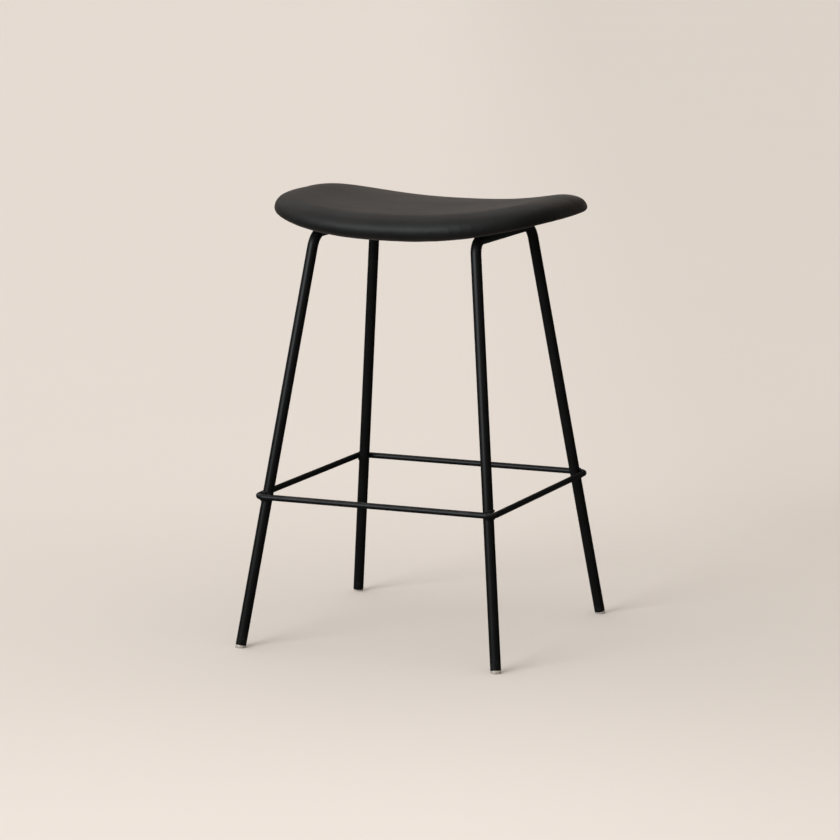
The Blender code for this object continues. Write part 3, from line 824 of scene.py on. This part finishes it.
def turned_brass():
    """Brass with turning marks and a little tarnish."""
    f = Finish("turned brass")
    marks = f.noise(900, 2, 0.5, f.stretched((1.0, 1.0, 9.0)))
    tarnish = f.noise(180, 4, 0.6).between(0.42, 0.72)
    return f.surface(
        Base_Color=f.blend(tarnish * 0.6, (0.72, 0.53, 0.25, 1.0), (0.36, 0.25, 0.12, 1.0)),
        Roughness=(0.26 + marks * 0.12 + tarnish * 0.16).clamped(),
        Normal=f.bump(marks, 0.00005, 0.5),
        Metallic=1.0)


def moulded_shell():
    """Dark glass-filled plastic with streaks from the mould."""
    f = Finish("glass-filled shell")
    streak = f.noise(40, 4, 0.65, f.stretched((1.0, 4.0, 1.0)))
    fibre = f.noise(1800, 3, 0.6)
    handled = f.noise(50, 4, 0.7).between(0.56, 0.70)
    body = f.blend(streak, grey(0.045), grey(0.080))
    return f.surface(
        Base_Color=f.blend(handled * 0.3, body, grey(0.12)),
        Roughness=(0.50 + fibre * 0.20 - handled * 0.08).clamped(),
        Normal=f.bump(fibre * 0.6 + streak * 0.4, 0.00015, 0.5))


def pale_floor():
    """Seamless pale studio paper, with painted shade in a soft band behind the object and to the
    right, and painted light towards the front.
    """
    f = Finish("pale floor")
    turned = f.node("ShaderNodeVectorRotate", {"rotation_type": "Z_AXIS"},
                    {"Vector": f.place, "Angle": -CAMERA_TURN})
    across = f.node("ShaderNodeSeparateXYZ", {}, {0: turned}, "X")
    behind = f.node("ShaderNodeSeparateXYZ", {}, {0: turned}, "Y")
    # A darker band behind the object, where paper would bend up into a sweep: painted shade.
    painted_bend_shade = behind.between(-0.60, 0.10) * (1 - behind.between(0.35, 1.30))
    # Darker to the right: painted shade. Lighter towards the front: painted light.
    right = across.between(-0.05, 0.75)
    near = 1 - behind.between(-1.2, -0.3)
    tooth = f.noise(700, 2, 0.5)
    # The floor's tone: painted shade and light from the band, the right side and the front, plus a
    # faint large noise that is the paper's own tone.
    depth = (painted_bend_shade * 0.15 + right * 0.32 + 0.40 - near * 0.40 + f.noise(1.1, 2, 0.5) * 0.05).clamped()
    return f.surface(
        Base_Color=f.blend(depth, (0.810, 0.746, 0.688, 1.0), (0.630, 0.575, 0.522, 1.0)),
        Roughness=(0.78 + tooth * 0.12).clamped(),
        Normal=f.bump(tooth, 0.0001, 0.15), Specular_IOR_Level=0.2)


# ---------------------------------------------------------------- stage

def camera():
    data = bpy.data.cameras.new("camera")
    data.lens = CAMERA_LENS
    data.sensor_width = 36
    data.clip_end = 200
    item = bpy.data.objects.new("camera", data)
    item.location = CAMERA_PLACE
    item.rotation_euler = (CAMERA_TILT, 0, CAMERA_TURN)
    bpy.context.scene.collection.objects.link(item)
    bpy.context.scene.camera = item


def floor():
    bpy.ops.object.select_all(action="DESELECT")
    bpy.ops.mesh.primitive_plane_add(size=FLOOR_SIZE, location=(0, 0, 0))
    ground = settle(bpy.context.object, "studio_floor")
    ground.data.materials.append(pale_floor())
    ground.visible_glossy = False       # so that the black pieces don't mirror the paper


def soft_sun(name, toward_left, elevation, spread, strength, colour):
    """Even light from far off; its direction, in degrees, is turned left of the camera's."""
    data = bpy.data.lights.new(name, "SUN")
    data.angle = radians(spread)
    data.energy = strength
    data.color = colour
    item = bpy.data.objects.new(name, data)
    item.rotation_euler = (radians(90 - elevation), 0, CAMERA_TURN - radians(toward_left))
    bpy.context.scene.collection.objects.link(item)


def studio():
    """Dim surroundings, a large soft light from the front left and a wide one overhead."""
    world = bpy.data.worlds.new("studio")
    world.use_nodes = True
    sky = world.node_tree.nodes["Background"]
    sky.inputs["Color"].default_value = (1.0, 0.95, 0.90, 1.0)
    sky.inputs["Strength"].default_value = 0.05
    bpy.context.scene.world = world
    bpy.context.scene.view_settings.view_transform = "Standard"
    soft_sun("key", toward_left=44, elevation=15, spread=36, strength=3.2,
             colour=(0.91, 0.96, 1.0))
    soft_sun("overhead", toward_left=80, elevation=70, spread=120, strength=2.66,
             colour=(1.0, 0.965, 0.935))


# ---------------------------------------------------------------- putting it together

def placed(piece, finish, slot, *nodes):
    """Give a finished piece its material and body, and hide the CAD nodes it stands for. The slot is
    not used.
    """
    piece.data.materials.clear()
    piece.data.materials.append(finish)
    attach(piece, "root")
    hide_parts(*nodes)


def build():
    coat = powder_coat()
    steel = screw_steel()

    right_tube = tube_frame()
    left_tube = copied(right_tube, "left_tube_frame", Matrix.Diagonal((-1, 1, 1, 1)))
    placed(right_tube, coat, "powder_coat", "right_leg_frame")
    placed(left_tube, coat, "powder_coat", "left_leg_frame")
    placed(footrest_rod(), coat, "powder_coat", "footrest_ring")

    for end_name, _ in ENDS:
        bar = softened_copy(f"{end_name}_cross_bar", f"{end_name}_flat_bar", BAR_SOFTENING)
        placed(bar, coat, "powder_coat", f"{end_name}_cross_bar")

    nylon = glide_nylon()
    for spot, glide in at_each_corner(foot_glide(), "foot_glide_plug").items():
        placed(glide, nylon, "glide", f"foot_glide_{spot}")
    for spot, bead in at_each_corner(footrest_bead(), "footrest_bead").items():
        placed(bead, coat, "powder_coat", f"footrest_weld_{spot}")
    for spot, bead in at_each_corner(bar_bead(), "bar_bead").items():
        placed(bead, coat, "powder_coat", f"bar_weld_{spot}")

    washer = ring_plate("plain_washer_back_right", "screw_washer_back_right", WASHER_SOFTENING)
    for spot, plate in at_each_corner(washer, "plain_washer").items():
        placed(plate, steel, "screw_steel", f"screw_washer_{spot}")
    spacer = ring_plate("rubber_spacer_back_right", "seat_spacer_back_right", SPACER_SOFTENING)
    black_rubber = rubber()
    for spot, plate in at_each_corner(spacer, "rubber_spacer").items():
        placed(plate, black_rubber, "rubber", f"seat_spacer_{spot}")
    for spot, screw in at_each_corner(seat_screw(), "socket_screw").items():
        placed(screw, steel, "screw_steel", f"seat_screw_{spot}")

    cover = leather_cover()
    placed(cover, leather(), "leather", "seat_leather", "seat_foam")
    placed(underside_panel(), panel_plastic(), "underside", "underside_pan")

    brass = turned_brass()
    for name, node in frame["nodes"].items():
        if name == "seat_shell":
            node.material_slots[0].material = moulded_shell()
        if name.startswith("threaded_insert"):
            node.material_slots[0].material = brass


camera()
floor()
studio()
build()
